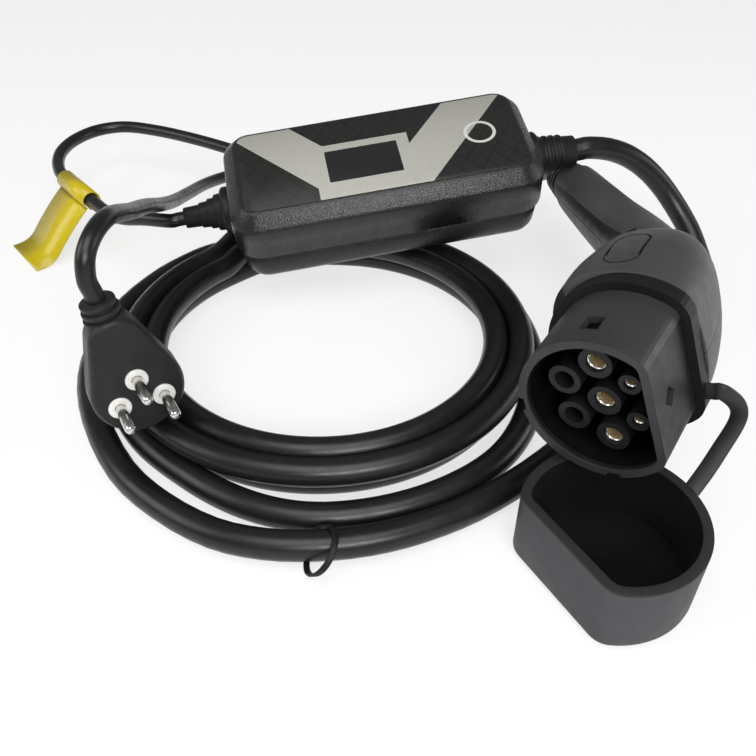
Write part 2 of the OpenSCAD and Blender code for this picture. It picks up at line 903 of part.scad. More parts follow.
module tie_band() {
    color(rubber_black)
    translate(tie_pos)
    rotate([0, 0, tie_yaw])
    rotate([0, 90, 0])
    rotate_extrude($fn = 48)
    translate([ev_cable / 2 + tie_gap, -tie_width / 2])
    square([tie_wall, tie_width]);
}

box_base();
box_lid();
box_gasket();
front_panel();
display_window();
display_module();
circuit_board();
relays();
supply_transformer();
leakage_sensor();
terminal_block();
box_screws();
mains_gland();
ev_gland();
nose_sleeve();
contact_carrier();
power_contacts();
signal_contacts();
seal_collar();
shell_upper();
shell_lower();
side_cover();
grip_strip();
cable_boot();
gun_screws();
dust_cap();
cap_strap();
plug_body();
plug_pins();
pin_collars();
ev_coil();
ev_lead_box();
ev_lead_gun();
mains_cord();
cord_tag();
tie_band();
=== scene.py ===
# %% [markdown]
# # A portable car charger
# The solids of the part come first, and everything else is measured from them. Each solid sits in
# the row frame in metres, so a new piece that repeats its measures lands exactly on it.

# %% Load the solids
import json
import math

import bmesh
import bpy
from mathutils import Matrix, Vector
from mathutils.bvhtree import BVHTree


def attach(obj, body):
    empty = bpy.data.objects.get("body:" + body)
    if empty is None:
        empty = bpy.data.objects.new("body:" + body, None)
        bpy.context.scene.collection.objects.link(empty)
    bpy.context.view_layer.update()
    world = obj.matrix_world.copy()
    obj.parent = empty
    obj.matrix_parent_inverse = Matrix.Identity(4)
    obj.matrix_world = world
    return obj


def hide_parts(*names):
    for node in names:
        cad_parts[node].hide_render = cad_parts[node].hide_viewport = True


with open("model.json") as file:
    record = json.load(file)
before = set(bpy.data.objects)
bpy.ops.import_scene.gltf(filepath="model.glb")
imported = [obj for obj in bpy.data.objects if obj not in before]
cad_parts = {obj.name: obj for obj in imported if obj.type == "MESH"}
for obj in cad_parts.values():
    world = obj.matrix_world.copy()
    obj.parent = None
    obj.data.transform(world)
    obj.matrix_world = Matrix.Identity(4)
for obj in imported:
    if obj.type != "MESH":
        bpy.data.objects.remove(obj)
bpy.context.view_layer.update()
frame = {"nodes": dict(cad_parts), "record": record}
solids = frame["nodes"]
scene = bpy.context.scene
print("solids:", len(solids))

# %% [markdown]
# ## Where the pieces stand
# The control box leans on the coil, the connector rests with its nose forward, and the plug stands
# on its edge. Every piece could be drawn where it stands, but slanted measures are hard to read. So
# a matrix holds each place, and a piece is drawn straight and square in millimetres and then put
# there.

# %% Places of the pieces
MM = 0.001


def place(spot, *turns):
    matrix = Matrix.Scale(MM, 4) @ Matrix.Translation(spot)
    for axis, angle in turns:
        matrix = matrix @ Matrix.Rotation(math.radians(angle), 4, axis)
    return matrix


box_place = place((-76.6, 40.9, 35.5), ("Z", 44.5), ("X", 16), ("Y", -6.5))
gun_place = place((106.5, -88, 70), ("X", 4), ("Y", -21))
cap_place = place((124.5, -105.5, 0), ("Z", -116))
plug_place = place((-66, -163, 45), ("Z", -27.6), ("Y", -5.7))
layout = Matrix.Scale(MM, 4)
print("box stands at", tuple(round(v, 3) for v in box_place.translation))

# %% [markdown]
# ## Camera
# The photograph looks down at the charger from the front right. The lens is a little longer than a
# phone's, which fits how the nose grows towards the viewer.

# %% Camera
camera = bpy.data.objects.new("camera", bpy.data.cameras.new("camera"))
camera.location = (0.160, -0.320, 0.268)
camera.rotation_euler = (math.radians(50), 0, math.radians(33.7))
camera.data.sensor_width = 36
camera.data.lens = 38.1
camera.data.clip_start = 0.01
scene.collection.objects.link(camera)
scene.camera = camera
scene.view_settings.view_transform = "Standard"
print("camera lens", camera.data.lens)

# %% [markdown]
# ## Cords
# The real cables are round and springy. A skin over rings could show that too, but a curve with a
# round bevel is simpler, and it keeps the line that the length is measured along. The line goes
# through a few listed points, and a smooth blend fills in the rest. The thick cable leaves the
# box, runs round the outside, winds four turns under itself and then goes to the connector.

# %% Smooth line through points


def blend(a, b, c, d, t):
    """Place between b and c, on a curve that also heeds a and d."""
    return 0.5 * (2 * b + (c - a) * t + (2 * a - 5 * b + 4 * c - d) * t ** 2
                  + (3 * b - a - 3 * c + d) * t ** 3)


def smooth_line(points, steps):
    points = [Vector(p) for p in points]
    row = [2 * points[0] - points[1], *points, 2 * points[-1] - points[-2]]
    line = [blend(*four, k / steps) for four in zip(row, row[1:], row[2:], row[3:])
            for k in range(steps)]
    return line + [points[-1]]


def line_length(line):
    return sum((b - a).length for a, b in zip(line, line[1:]))


def in_row(matrix, points):
    return [matrix @ Vector(p) for p in points]


# %% Route of the thick cable
BOX_END = 86.75
GLAND = 27
GLAND_AXIS = 23
ev_exit = [(BOX_END + GLAND + d, 0, GLAND_AXIS) for d in (0, 4, 9)]
ev_lead_out = [
    (24.5, 126, 69), (34, 135, 64), (44, 142.5, 56), (54.5, 147, 46), (66, 148, 34.5),
    (78, 144.5, 23.5), (87.5, 137, 15), (95, 127, 10), (104, 106, 7), (109, 80, 7), (109, 52, 7),
    (105, 21, 7), (97, -14, 7), (88, -48, 7), (80, -80, 7), (69, -109, 7), (56, -132, 7.5),
    (42, -150, 8.3), (26, -164, 8.5), (8, -175, 8.3), (-14, -182, 7.5), (-42, -183, 7),
    (-72, -178, 7), (-107, -162, 7), (-135, -141, 7), (-154, -116, 7), (-166, -86, 7),
    (-170.5, -55, 7),
]
ev_lead_in = [
    (-147.8, 2.2, 19.7), (-136, 30, 15.5), (-121, 56, 9.5), (-109, 82, 7), (-101, 107, 7),
    (-89, 132, 8), (-69, 151, 13), (-44, 157, 21), (-25, 151, 32),
]
HANDLE_TIP = Vector((-97.5, 195.5, 0))
HANDLE_TURN = math.radians(43)
BOOT = 32
boot_way = Vector((-math.sin(HANDLE_TURN), math.cos(HANDLE_TURN), 0))
gun_end = [HANDLE_TIP + (BOOT + d) * boot_way for d in (16, 7, 0)]

# %% Turns of the coil
COIL_MIDDLE = Vector((-49, -55, 0))
LOW, HIGH = 6.5, 17.76
TURN_STEP = 6
coil_steps = [
    (168, 121.6, 7), (120, 107.5, LOW), (30, 107.5, LOW), (-18, 116, LOW), (-54, 116, LOW),
    (-96, 107.5, LOW), (-192, 107.5, LOW), (-240, 94.5, LOW), (-552, 94.5, LOW),
    (-600, 88, HIGH), (-912, 88, HIGH), (-924, 94.5, HIGH + 2), (-936, 101, HIGH),
    (-1272, 101, HIGH), (-1290, 114.2, 19.7),
]


def coil_line():
    """Points round the coil, from rows of angle, radius and height."""
    line = []
    for (a0, r0, z0), (a1, r1, z1) in zip(coil_steps, coil_steps[1:]):
        count = round((a0 - a1) / TURN_STEP)
        for k in range(count):
            t = k / count
            ease = t * t * (3 - 2 * t)
            angle = math.radians(a0 + (a1 - a0) * t)
            radius = r0 + (r1 - r0) * ease
            line.append(COIL_MIDDLE + Vector((radius * math.cos(angle), radius * math.sin(angle),
                                              z0 + (z1 - z0) * ease)))
    return line


ev_route = (
    in_row(box_place, ev_exit) + in_row(layout, ev_lead_out)
    + in_row(layout, coil_line()) + in_row(layout, ev_lead_in) + in_row(gun_place, gun_end)
)
print("points on the thick cable:", len(ev_route))

# %% Route of the thin cord
mains_exit = [(-BOX_END - GLAND - d, 0, GLAND_AXIS) for d in (0, 4, 9)]
mains_lay = [
    (-179, -53, 43), (-195, -56, 40), (-214, -52, 36.5), (-235, -45, 34.5), (-255, -39, 34),
    (-275, -33, 33.5), (-294, -23, 33), (-310, -8, 33), (-319, 11, 33), (-319, 32, 33),
    (-307, 48, 33), (-282, 56, 33), (-252, 60, 33), (-224, 63, 32), (-196, 68, 29), (-166, 80, 25),
    (-140, 102, 17), (-129, 128, 9), (-138, 150, 5), (-161, 158, 4.5), (-186, 145, 4.5),
    (-206, 120, 4.5), (-220, 91, 6), (-227, 64, 9), (-221, 37, 16), (-206, 8, 26), (-185, -24, 40),
    (-164, -52, 56), (-143, -79, 73), (-122, -105, 88), (-105, -125, 101), (-93, -140, 109),
    (-86, -152, 110), (-83, -160, 105),
]
PLUG_DEPTH = 18
PLUG_TOP = 43
PLUG_LEAN = 8
plug_upright = plug_place @ Matrix.Rotation(math.radians(PLUG_LEAN), 4, "X")
plug_end = [(-PLUG_DEPTH / 2, 0, PLUG_TOP + d) for d in (10, 4, 0)]
mains_route = (
    in_row(box_place, mains_exit) + in_row(layout, mains_lay) + in_row(plug_upright, plug_end)
)
print("points on the thin cord:", len(mains_route))

# %% Make the two cables


def cable(name, line, diameter):
    curve = bpy.data.curves.new(name, "CURVE")
    curve.dimensions = "3D"
    curve.bevel_depth = diameter / 2
    curve.bevel_resolution = 5
    curve.use_fill_caps = True
    spline = curve.splines.new("POLY")
    spline.points.add(len(line) - 1)
    for point, spot in zip(spline.points, line):
        point.co = (*spot, 1)
    piece = bpy.data.objects.new(name, curve)
    scene.collection.objects.link(piece)
    return piece


EV_CABLE, MAINS_CORD = 0.013, 0.008
ev_line = smooth_line(ev_route, 3)
mains_line = smooth_line(mains_route, 6)
ev_cable = cable("thick_cable", ev_line, EV_CABLE)
mains_cord = cable("thin_cord", mains_line, MAINS_CORD)
print("thick cable %.3f m, thin cord %.3f m" % (line_length(ev_line), line_length(mains_line)))

# %% [markdown]
# ## Shader maths in Python
# A finish is a little graph of nodes. Wrapping a socket in a class lets a sum be written as a sum:
# each operator adds the Math node for it, and one method adds any other node.

# %% A socket that can be used in sums


class Wire:
    def __init__(self, tree, socket=None):
        self.tree, self.socket = tree, socket

    def node(self, kind, settings=None, inputs=None, out=0):
        made = self.tree.nodes.new(kind)
        for name, value in (settings or {}).items():
            setattr(made, name, value)
        for name, value in (inputs or {}).items():
            if isinstance(value, Wire):
                self.tree.links.new(value.socket, made.inputs[name])
            else:
                made.inputs[name].default_value = value
        return Wire(self.tree, made.outputs[out] if len(made.outputs) else None)

    def math(self, operation, *values):
        return self.node("ShaderNodeMath", {"operation": operation}, dict(enumerate(values)))

    def __add__(self, other):
        return self.math("ADD", self, other)

    def __sub__(self, other):
        return self.math("SUBTRACT", self, other)

    def __rsub__(self, other):
        return self.math("SUBTRACT", other, self)

    def __mul__(self, other):
        return self.math("MULTIPLY", self, other)

    def __abs__(self):
        return self.math("ABSOLUTE", self)

    __radd__ = __add__
    __rmul__ = __mul__

    def root(self):
        return self.math("SQRT", self)

    def folded(self, width):
        return self.math("PINGPONG", self, width)

    def below(self, edge):
        return self.math("LESS_THAN", self, edge)

    def most(self, other):
        return self.math("MAXIMUM", self, other)

    def least(self, other):
        return self.math("MINIMUM", self, other)

    def between(self, low, high, to_low=0, to_high=1):
        return self.node("ShaderNodeMapRange", {"clamp": True},
                         {0: self, 1: low, 2: high, 3: to_low, 4: to_high})

    def colours(self, first, second):
        return self.node("ShaderNodeMix", {"data_type": "RGBA"},
                         {0: self, 6: first, 7: second}, out=2)


def rgb(r, g, b):
    return (r, g, b, 1)


# %% Start and close a finish


def start_finish(name):
    material = bpy.data.materials.new(name)
    material.use_nodes = True
    material.node_tree.nodes.clear()
    graph = Wire(material.node_tree)
    return material, graph, graph.node("ShaderNodeTexCoord", out="Object")


def close_finish(graph, colour, rough, normal=None, **fixed):
    inputs = {"Base Color": colour, "Roughness": rough}
    inputs.update({name.replace("_", " "): value for name, value in fixed.items()})
    if normal is not None:
        inputs["Normal"] = normal
    shader = graph.node("ShaderNodeBsdfPrincipled", {}, inputs)
    graph.node("ShaderNodeOutputMaterial", {}, {"Surface": shader})


def in_place(graph, spot, matrix):
    """Millimetres of a piece's own frame, from the row frame."""
    turn = matrix.to_euler("XYZ")
    return graph.node("ShaderNodeMapping", {"vector_type": "TEXTURE"},
                      {"Vector": spot, "Location": matrix.translation, "Rotation": turn,
                       "Scale": (MM, MM, MM)})


def parts_of(graph, spot):
    split = graph.node("ShaderNodeSeparateXYZ", {}, {0: spot})
    outputs = split.socket.node.outputs
    return [Wire(graph.tree, outputs[k]) for k in range(3)]


# %% [markdown]
# ## Finishes
# Moulded plastic has a fine grain, and its shine changes a little from place to place where hands
# and boxes rubbed it. One flat colour would look like paint. So every finish below has a grain for
# the bump, a slow cloud for the colour and a quicker one for the shine, at the scale of the real
# thing.

# %% Grain, cloud and wear
CLOUD_SCALE, WEAR_SCALE = 22, 160


def noise(graph, spot, scale, detail=2):
    return graph.node("ShaderNodeTexNoise", {}, {"Vector": spot, "Scale": scale, "Detail": detail})


def bump(graph, height, strength, distance):
    return graph.node("ShaderNodeBump", {},
                      {"Strength": strength, "Distance": distance, "Height": height}, out="Normal")


def grained(graph, spot, scale, strength, depth):
    return bump(graph, noise(graph, spot, scale), strength, depth)


def clouded(graph, spot):
    return noise(graph, spot, CLOUD_SCALE, 3).between(0.35, 0.65)


def worn(graph, spot, low, high):
    return noise(graph, spot, WEAR_SCALE, 4).between(0.3, 0.7, low, high)


# %% Moulded plastics and rubbers
SHINE_SPREAD = 0.06


def moulded(name, dark, pale, rough, grain, depth, strength=0.5, **fixed):
    material, graph, spot = start_finish(name)
    close_finish(graph, clouded(graph, spot).colours(dark, pale),
                 worn(graph, spot, rough - SHINE_SPREAD, rough + SHINE_SPREAD),
                 grained(graph, spot, grain, strength, depth), **fixed)
    return material


finishes = {
    "shell_plastic": moulded("textured_shell", rgb(0.012, 0.012, 0.012), rgb(0.018, 0.018, 0.017),
                             0.3, 1200, 0.0003, 0.8, Specular_IOR_Level=0.4),
    "black_rubber": moulded("black_rubber", rgb(0.005, 0.005, 0.006), rgb(0.009, 0.009, 0.01),
                            0.5, 2600, 0.0001, 0.4, Specular_IOR_Level=0.28),
    "component_plastic": moulded("component_blue", rgb(0.02, 0.04, 0.12), rgb(0.03, 0.055, 0.15),
                                 0.4, 1800, 0.0001),
    "board_resin": moulded("board_green", rgb(0.01, 0.085, 0.038), rgb(0.014, 0.11, 0.05),
                           0.35, 900, 0.0001),
    "plug_plastic": moulded("plug_plastic", rgb(0.011, 0.011, 0.012), rgb(0.018, 0.018, 0.019),
                            0.45, 2400, 0.0001, 0.4, Specular_IOR_Level=0.32),
    "white_plastic": moulded("white_collar", rgb(0.72, 0.71, 0.68), rgb(0.8, 0.79, 0.76),
                             0.35, 1500, 0.00005, 0.3),
    "cable_rubber": moulded("cable_sheath", rgb(0.005, 0.005, 0.006), rgb(0.01, 0.01, 0.011),
                            0.33, 1900, 0.00008, 0.35, Specular_IOR_Level=0.42),
    "tag_film": moulded("tag_film", rgb(0.52, 0.41, 0.004), rgb(0.58, 0.46, 0.01),
                        0.24, 260, 0.0002, 0.3),
}
liner_black = moulded("liner_black", rgb(0.0015, 0.0015, 0.0017), rgb(0.0025, 0.0025, 0.0027),
                      0.6, 2400, 0.0001, 0.3, Specular_IOR_Level=0.12)
strap_grey = moulded("strap_rubber", rgb(0.018, 0.018, 0.019), rgb(0.026, 0.026, 0.027),
                     0.5, 3000, 0.00008, 0.35, Specular_IOR_Level=0.28)
print("moulded finishes:", len(finishes) + 2)

# %% [markdown]
# ## Metals
# Screws, pins and contacts are plated, and use makes the plating duller in patches. An even mirror
# would look like chrome, and scratches drawn one by one would be too fine to see from here. So two
# noises do it: one changes the colour of the plating, the other its shine.

# %% Metals


def metal(name, dark, pale, rough):
    material, graph, spot = start_finish(name)
    cloud = noise(graph, spot, 300, 3).between(0.3, 0.7)
    scuff = noise(graph, spot, 900, 3).between(0.3, 0.7, rough - 0.06, rough + 0.08)
    close_finish(graph, cloud.colours(dark, pale), scuff, Metallic=1.0)
    return material


finishes["screw_steel"] = metal("screw_steel", rgb(0.42, 0.42, 0.43), rgb(0.55, 0.55, 0.55), 0.35)
finishes["pin_nickel"] = metal("pin_nickel", rgb(0.62, 0.61, 0.58), rgb(0.74, 0.73, 0.7), 0.2)
finishes["contact_metal"] = metal("contact_silver", rgb(0.7, 0.69, 0.66), rgb(0.8, 0.79, 0.76), 0.2)
gold = metal("contact_gold", rgb(0.84, 0.75, 0.55), rgb(0.9, 0.82, 0.64), 0.42)
print("finishes with the metals:", len(finishes))

# %% [markdown]
# ## Printed panel
# The film on the lid is printed in silver and two dark greys. Pieces of thin mesh could carry the
# colours, but a print has no height. Straight edges at a slant are simple sums of the two
# coordinates on the panel, so the print is a few comparisons: two slanted bands, a level band
# behind the display, hairlines on the dark fields, and a plain ring at the right.

# %% Panel print
BAND_SLANT, HAIR_SLANT = 0.85, 0.72
HAIR = 0.22
RING_SPOT, RING, RING_LINE = (57, 1, 0), 8, 0.9
material, graph, spot = start_finish("panel_print")
x, y, _ = parts_of(graph, in_place(graph, spot, box_place))
left_band = abs(x + BAND_SLANT * y + 38).below(17)
right_band = abs(x - BAND_SLANT * y - 33).below(17)
level_band = abs(y + 11).below(22).least(abs(x + 9.7).below(27))
silver = left_band.most(right_band).most(level_band)
hair = abs((x + HAIR_SLANT * y).folded(9) - 4.5).below(HAIR)
cross_hair = abs((x - HAIR_SLANT * y).folded(13) - 6.5).below(HAIR)
hairline = hair.most(cross_hair) * (1 - silver)
flat_spot = graph.node("ShaderNodeCombineXYZ", {}, {0: x, 1: y})
away = graph.node("ShaderNodeVectorMath", {"operation": "DISTANCE"},
                  {0: flat_spot, 1: RING_SPOT}, out="Value")
ring = abs(away - RING).below(RING_LINE)
grain = noise(graph, spot, 900).between(0.3, 0.7)
silver_ink = grain.colours(rgb(0.36, 0.355, 0.32), rgb(0.41, 0.405, 0.36))
dark_ink = grain.colours(rgb(0.013, 0.013, 0.012), rgb(0.019, 0.019, 0.018))
ink = silver.colours(dark_ink, silver_ink)
ink = hairline.colours(ink, rgb(0.003, 0.003, 0.003))
ink = ring.colours(ink, rgb(0.6, 0.59, 0.57))
satin = noise(graph, spot, 120, 3).between(0.3, 0.7, 0.36, 0.46)
close_finish(graph, ink, satin, bump(graph, grain, 0.15, 0.0001), Specular_IOR_Level=0.35)
finishes["panel_film"] = material
print("nodes in the panel print:", len(material.node_tree.nodes))

# %% [markdown]
# ## Display window
# The window is dark clear plastic over the display. It could be real glass in Cycles, but nothing
# shows through it, and glass takes many more samples to come out clean. So it is a dark surface
# with a slow haze in its colour and smears in its shine.

# %% Display window
material, graph, spot = start_finish("display_window")
smear = noise(graph, spot, 60, 4).between(0.35, 0.65, 0.28, 0.38)
haze = noise(graph, spot, 30).between(0.3, 0.7)
close_finish(graph, haze.colours(rgb(0.016, 0.015, 0.015), rgb(0.02, 0.019, 0.019)), smear,
             Specular_IOR_Level=0.3)
finishes["window_plastic"] = material
print("finishes with the panel:", len(finishes))

# %% [markdown]
# ## Painted shade on the mouldings
# The nose is grey outside, and its bore and its flat are painted near black as shade. The left
# underside of the housing, turned from the lamps, is painted near black as shade, beside a dark
# joint line on its parting. The cap's hollow is painted near black as shade, and its rim is darker.
# Each could be cut into two pieces, but the real ones are one moulding. So a mask in the piece's
# own millimetres picks the tone.

# %% Nose of the connector
SLEEVE_BORE, INNER_FLAT, OUTER_FLAT = 28.6, 19.6, 22.3
LIP = 6
material, graph, spot = start_finish("nose_plastic")
x, y, z = parts_of(graph, in_place(graph, spot, gun_place))
# Painted shade: the bore behind the lip and the flat outer side are painted near black, for the
# shade that falls in them.
in_bore = (x * x + z * z).root().below(SLEEVE_BORE)
shaded_inside = in_bore.least((0 - y).below(LIP)).least(x.below(INNER_FLAT))
shaded_flat_side = 1 - x.below(OUTER_FLAT)
cloud = clouded(graph, spot)
outside_grey = cloud.colours(rgb(0.026, 0.026, 0.027), rgb(0.036, 0.036, 0.038))
painted_shade_black = cloud.colours(rgb(0.006, 0.006, 0.007), rgb(0.01, 0.01, 0.011))
close_finish(graph, shaded_inside.most(shaded_flat_side).colours(outside_grey, painted_shade_black),
             worn(graph, spot, 0.38, 0.5), grained(graph, spot, 2400, 0.4, 0.0001),
             Specular_IOR_Level=0.35)
finishes["nose_plastic"] = material
print("nodes in the nose plastic:", len(material.node_tree.nodes))

# %% Plastic of the housing
HANDLE_FROM, BODY_EDGE, HANDLE_EDGE = 86, 26, 51
JOINT_HALF = 0.3
material, graph, spot = start_finish("grip_plastic")
x, y, z = parts_of(graph, in_place(graph, spot, gun_place))
on_handle = 1 - y.below(HANDLE_FROM)
on_body = 1 - on_handle
across_handle = 0.731 * x + 0.682 * y
# Painted shade: the left underside of body and handle, turned away from the lamps, is painted near
# black. The joint line along the parting is a dark groove in the same colour.
shaded_side = (x + BODY_EDGE).below(0) * on_body + across_handle.below(HANDLE_EDGE) * on_handle
joint_line = abs(x + BODY_EDGE).below(JOINT_HALF) * on_body * (0 - z).below(0)
cloud = clouded(graph, spot)
hard_grey = cloud.colours(rgb(0.046, 0.046, 0.047), rgb(0.062, 0.062, 0.063))
joint_and_shade_black = cloud.colours(rgb(0.006, 0.006, 0.007), rgb(0.01, 0.01, 0.011))
close_finish(graph, shaded_side.most(joint_line).colours(hard_grey, joint_and_shade_black),
             worn(graph, spot, 0.4, 0.52), grained(graph, spot, 2400, 0.45, 0.00012),
             Specular_IOR_Level=0.4)
finishes["gun_plastic"] = material
print("nodes in the grip plastic:", len(material.node_tree.nodes))

# %% Rubber of the cap
HOLLOW, HOLLOW_FLAT = 32.4, 21.8
HOLLOW_MIDDLE, HOLLOW_HALF = 18.5, 14.8
RIM_FROM = 33.2
HOLLOW_ROUGHER = 0.35
material, graph, spot = start_finish("cap_rubber")
x, y, z = parts_of(graph, in_place(graph, spot, cap_place))
# Painted shade: the hollow is painted near black for the deep shade inside it. The rim is darker
# than the sides.
in_round = (x * x + y * y).root().below(HOLLOW)
in_depth = abs(z - HOLLOW_MIDDLE).below(HOLLOW_HALF)
hollow = in_round.least(x.below(HOLLOW_FLAT)).least(in_depth)
rim = 1 - z.below(RIM_FROM)
cloud = clouded(graph, spot)
skin_grey = cloud.colours(rgb(0.046, 0.047, 0.05), rgb(0.06, 0.061, 0.065))
hollow_shade_black = cloud.colours(rgb(0.001, 0.001, 0.0012), rgb(0.0018, 0.0018, 0.002))
outer_grey = rim.colours(skin_grey, rgb(0.02, 0.0205, 0.022))
close_finish(graph, hollow.colours(outer_grey, hollow_shade_black),
             worn(graph, spot, 0.5, 0.62) + HOLLOW_ROUGHER * hollow,
             grained(graph, spot, 3000, 0.35, 0.00008), Specular_IOR_Level=0.25)
finishes["cap_rubber"] = material
print("nodes in the cap rubber:", len(material.node_tree.nodes))

# %% Dress the solids that stay
for part in frame["record"]["subparts"]:
    mesh = solids[part["node"]].data
    mesh.materials.clear()
    mesh.materials.append(finishes[part["material_slot"]])

# %% [markdown]
# ## Helpers for new pieces
# A piece is drawn in millimetres in its own frame with bmesh, then moved to its place and made into
# a mesh. Edges sharper than a set angle stay crisp, and the rest are shaded smooth.

# %% Finish a piece


def finish_piece(name, bm, matrix, slot, *nodes, sharp=32, flip=True, finish=None):
    if flip:
        bmesh.ops.recalc_face_normals(bm, faces=bm.faces)
    bmesh.ops.transform(bm, matrix=matrix, verts=bm.verts)
    mesh = bpy.data.meshes.new(name)
    bm.to_mesh(mesh)
    bm.free()
    mesh.polygons.foreach_set("use_smooth", [True] * len(mesh.polygons))
    mesh.set_sharp_from_angle(angle=math.radians(sharp))
    mesh.materials.append(finish or finishes[slot])
    piece = bpy.data.objects.new(name, mesh)
    scene.collection.objects.link(piece)
    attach(piece, "root")
    if nodes:
        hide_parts(*nodes)
    print(name, len(mesh.polygons), "faces")
    return piece


def soften(bm, edges, width, segments=2):
    bmesh.ops.bevel(bm, geom=edges, offset=width, affect="EDGES", segments=segments, profile=0.5,
                    material=-1, clamp_overlap=True)


def sharp_edges(bm, angle):
    limit = math.radians(angle)
    return [e for e in bm.edges if len(e.link_faces) == 2 and e.calc_face_angle(0) > limit]


def edges_at(bm, height):
    return [e for e in bm.edges if len(e.link_faces) == 2
            and all(abs(v.co.z - height) < 0.05 for v in e.verts)]


def open_edges(bm):
    return [e for e in bm.edges if e.is_boundary]


def close_holes(bm):
    bmesh.ops.holes_fill(bm, edges=open_edges(bm), sides=0)


def verts_of(geom):
    return [g for g in geom if isinstance(g, bmesh.types.BMVert)]


# %% Pieces that a lathe could turn


def turned(bm, profile, steps):
    """Spin an open outline of (radius, height) points about Z."""
    verts = [bm.verts.new((r, 0, z)) for r, z in profile]
    edges = [bm.edges.new(pair) for pair in zip(verts, verts[1:])]
    bmesh.ops.spin(bm, geom=verts + edges, cent=(0, 0, 0), axis=(0, 0, 1), angle=math.tau,
                   steps=steps, use_merge=True)
    bmesh.ops.remove_doubles(bm, verts=bm.verts, dist=0.0005)


def lathe(profile, bevel, steps=40):
    bm = bmesh.new()
    turned(bm, profile, steps)
    bmesh.ops.recalc_face_normals(bm, faces=bm.faces)
    soften(bm, sharp_edges(bm, 35), bevel)
    return bm


def along(spot, way):
    """Frame with its Z axis along a way."""
    return Matrix.Translation(spot) @ Vector(way).to_track_quat("Z", "Y").to_matrix().to_4x4()


def add_copy(bm, other, matrix):
    bmesh.ops.transform(other, matrix=matrix, verts=other.verts)
    mesh = bpy.data.meshes.new("copy")
    other.to_mesh(mesh)
    other.free()
    bm.from_mesh(mesh)
    bpy.data.meshes.remove(mesh)


# %% Pieces skinned over rings


def skinned(rings):
    bm = bmesh.new()
    loops = []
    for ring in rings:
        verts = [bm.verts.new(p) for p in ring]
        loops.append([bm.edges.new(pair) for pair in zip(verts, verts[1:] + verts[:1])])
    for first, second in zip(loops, loops[1:]):
        bmesh.ops.bridge_loops(bm, edges=first + second)
    for loop in (loops[0], loops[-1]):
        bmesh.ops.contextual_create(bm, geom=loop)
    bmesh.ops.recalc_face_normals(bm, faces=bm.faces)
    return bm


# %% Outlines
CORNER_STEPS, ROUND_STEPS = 10, 56


def rounded_face(bm, length, width, corner, height, up=True):
    made = bmesh.ops.create_grid(bm, x_segments=1, y_segments=1, size=0.5)
    bmesh.ops.scale(bm, vec=(length, width, 1), verts=made["verts"])
    bmesh.ops.translate(bm, vec=(0, 0, height), verts=made["verts"])
    bmesh.ops.bevel(bm, geom=made["verts"], offset=corner, affect="VERTICES", segments=8,
                    profile=0.5, material=-1, offset_type="OFFSET")
    face = bm.faces[:][0]
    face.normal_update()
    if (face.normal.z > 0) != up:
        bmesh.ops.reverse_faces(bm, faces=[face])
    return face


def d_face(bm, width, depth, corner, height):
    """Circle cut flat on one side, with both corners rounded."""
    round_from = width / 2 - corner
    flat = depth - width / 2 - corner
    rise = math.sqrt(round_from ** 2 - flat ** 2)
    turn = math.atan2(rise, flat)
    bends = [turn * k / CORNER_STEPS for k in range(CORNER_STEPS)]
    half = [(flat + corner * math.cos(a), rise + corner * math.sin(a)) for a in bends]
    arc = [turn + (math.tau - 2 * turn) * k / ROUND_STEPS for k in range(ROUND_STEPS + 1)]
    back = [(width / 2 * math.cos(a), width / 2 * math.sin(a)) for a in arc]
    outline = half + back + [(x, -y) for x, y in reversed(half)]
    face = bm.faces.new([bm.verts.new((x, y, height)) for x, y in outline])
    face.normal_update()
    return face


def raise_face(bm, face, inset, depth):
    bmesh.ops.inset_region(bm, faces=[face], thickness=inset, depth=depth, use_boundary=True,
                           use_even_offset=True)


# %% [markdown]
# ## Control box
# The box is two hollow mouldings with drafted walls and a wide bevel. A bevelled cube would give
# every edge one width. So both shells start as one rounded face: insetting it with a depth draws a
# wall with its draft, and again draws the bevel. A Solidify modifier gives the wall its thickness
# towards the inside.

# %% Lid and base shells
BOX_LENGTH, BOX_WIDTH, BOX_CORNER = 173.5, 78.5, 16
BASE_HEIGHT, LID_WALL, LID_BEVEL = 21, 19, 7.5
LID_DRAFT, LID_SOFT = 0.1, 1.6
BASE_WALL, BASE_DRAFT, BASE_FOOT, BASE_BEVEL, BASE_SOFT = 17, 1.75, 4, 3.25, 2.4
BOX_HEIGHT = BASE_HEIGHT + LID_WALL + LID_BEVEL
WALL = 3.5
STEP = 1.2


def make_shell(name, bm, node):
    piece = finish_piece(name, bm, box_place, "shell_plastic", node, sharp=50, flip=False)
    thick = piece.modifiers.new("wall", "SOLIDIFY")
    thick.thickness = WALL * MM
    thick.offset = -1


bm = bmesh.new()
top = rounded_face(bm, BOX_LENGTH, BOX_WIDTH, BOX_CORNER, BASE_HEIGHT)
raise_face(bm, top, LID_DRAFT, LID_WALL)
raise_face(bm, top, LID_BEVEL, LID_BEVEL)
soften(bm, edges_at(bm, BASE_HEIGHT + LID_WALL) + edges_at(bm, BOX_HEIGHT), LID_SOFT, 4)
make_shell("lid_shell", bm, "box_lid")

bm = bmesh.new()
bottom = rounded_face(bm, BOX_LENGTH - 2 * STEP, BOX_WIDTH - 2 * STEP, BOX_CORNER - STEP,
                      BASE_HEIGHT, up=False)
raise_face(bm, bottom, BASE_DRAFT, BASE_WALL)
raise_face(bm, bottom, BASE_BEVEL, BASE_FOOT)
soften(bm, edges_at(bm, BASE_FOOT) + edges_at(bm, 0), BASE_SOFT, 4)
make_shell("base_shell", bm, "box_base")

# %% [markdown]
# ## Film and window
# The printed film lies in a shallow bed of the lid, and the window stands in the film. Both could
# be flat planes, but a plane has no edge to catch the light. So each is a rounded face raised to
# its thickness, with a fine inset as its edge.

